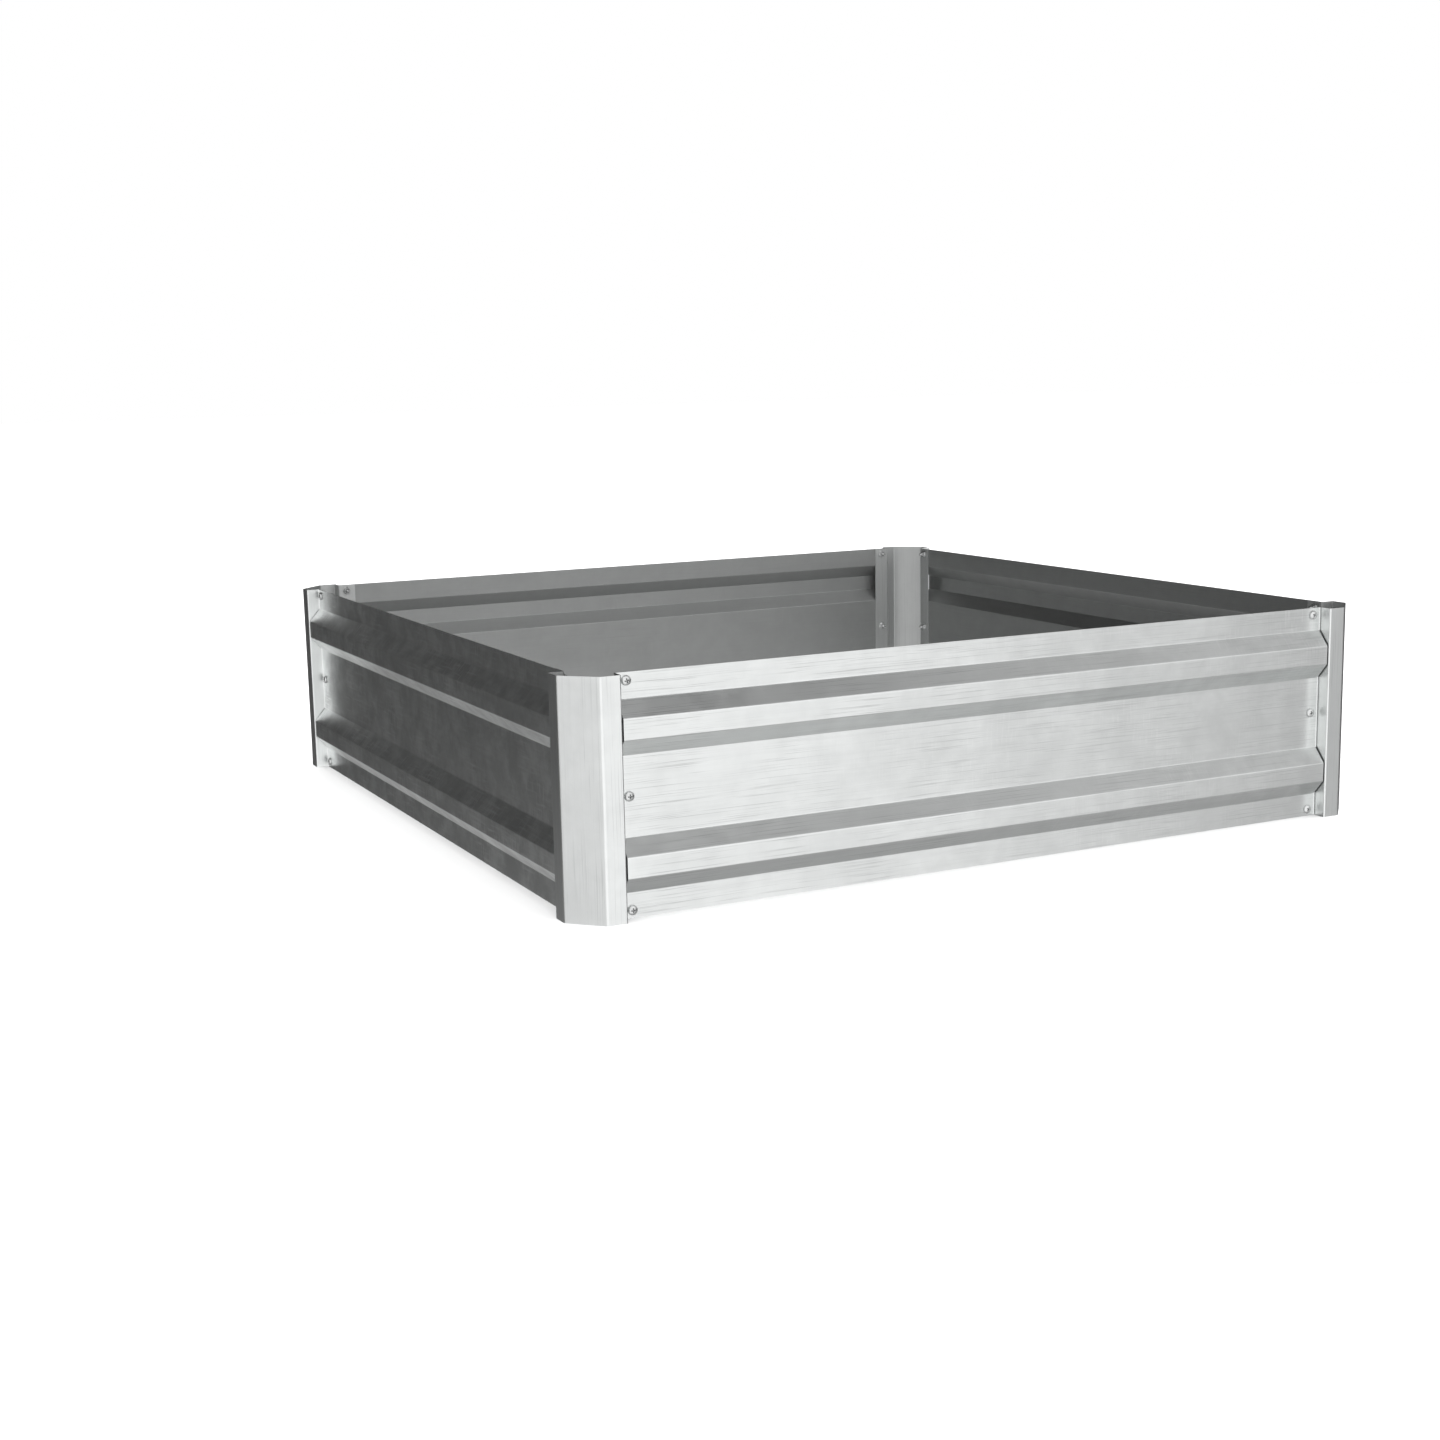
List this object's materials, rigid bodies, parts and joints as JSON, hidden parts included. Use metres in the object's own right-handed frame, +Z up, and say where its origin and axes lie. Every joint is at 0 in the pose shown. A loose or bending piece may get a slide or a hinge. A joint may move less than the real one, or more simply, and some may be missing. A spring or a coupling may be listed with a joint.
{
  "type": "raised garden bed",
  "caption": "Square open-bottomed raised garden bed: ribbed galvanised steel side panels bolted to folded corner posts with 45 degree corner faces.",
  "frame": {"origin": "centre of the base, on the ground", "axes": "+Z up, +X along the front panel to the right, +Y from the front panel to the back panel"},
  "size_m": [1.219, 1.219, 0.3],
  "materials": {
    "panel_steel": "galvanised sheet, bright, with fine streaks along the panel and light stains",
    "post_steel": "galvanised sheet, bright, with fine upright streaks",
    "bolt_steel": "bright zinc plate",
    "nut_steel": "bright zinc plate"
  },
  "bodies": {
    "root": {"panel_front": "panel_steel", "panel_right": "panel_steel", "panel_back": "panel_steel", "panel_left": "panel_steel", "post_front_left": "post_steel", "post_front_right": "post_steel", "post_back_right": "post_steel", "post_back_left": "post_steel", "bolt_front_left_lower": "bolt_steel", "nut_front_left_lower": "nut_steel", "bolt_front_left_middle": "bolt_steel", "nut_front_left_middle": "nut_steel", "bolt_front_left_upper": "bolt_steel", "nut_front_left_upper": "nut_steel", "bolt_front_right_lower": "bolt_steel", "nut_front_right_lower": "nut_steel", "bolt_front_right_middle": "bolt_steel", "nut_front_right_middle": "nut_steel", "bolt_front_right_upper": "bolt_steel", "nut_front_right_upper": "nut_steel", "bolt_right_front_lower": "bolt_steel", "nut_right_front_lower": "nut_steel", "bolt_right_front_middle": "bolt_steel", "nut_right_front_middle": "nut_steel", "bolt_right_front_upper": "bolt_steel", "nut_right_front_upper": "nut_steel", "bolt_right_back_lower": "bolt_steel", "nut_right_back_lower": "nut_steel", "bolt_right_back_middle": "bolt_steel", "nut_right_back_middle": "nut_steel", "bolt_right_back_upper": "bolt_steel", "nut_right_back_upper": "nut_steel", "bolt_back_right_lower": "bolt_steel", "nut_back_right_lower": "nut_steel", "bolt_back_right_middle": "bolt_steel", "nut_back_right_middle": "nut_steel", "bolt_back_right_upper": "bolt_steel", "nut_back_right_upper": "nut_steel", "bolt_back_left_lower": "bolt_steel", "nut_back_left_lower": "nut_steel", "bolt_back_left_middle": "bolt_steel", "nut_back_left_middle": "nut_steel", "bolt_back_left_upper": "bolt_steel", "nut_back_left_upper": "nut_steel", "bolt_left_back_lower": "bolt_steel", "nut_left_back_lower": "nut_steel", "bolt_left_back_middle": "bolt_steel", "nut_left_back_middle": "nut_steel", "bolt_left_back_upper": "bolt_steel", "nut_left_back_upper": "nut_steel", "bolt_left_front_lower": "bolt_steel", "nut_left_front_lower": "nut_steel", "bolt_left_front_middle": "bolt_steel", "nut_left_front_middle": "nut_steel", "bolt_left_front_upper": "bolt_steel", "nut_left_front_upper": "nut_steel"}
  },
  "joints": []
}
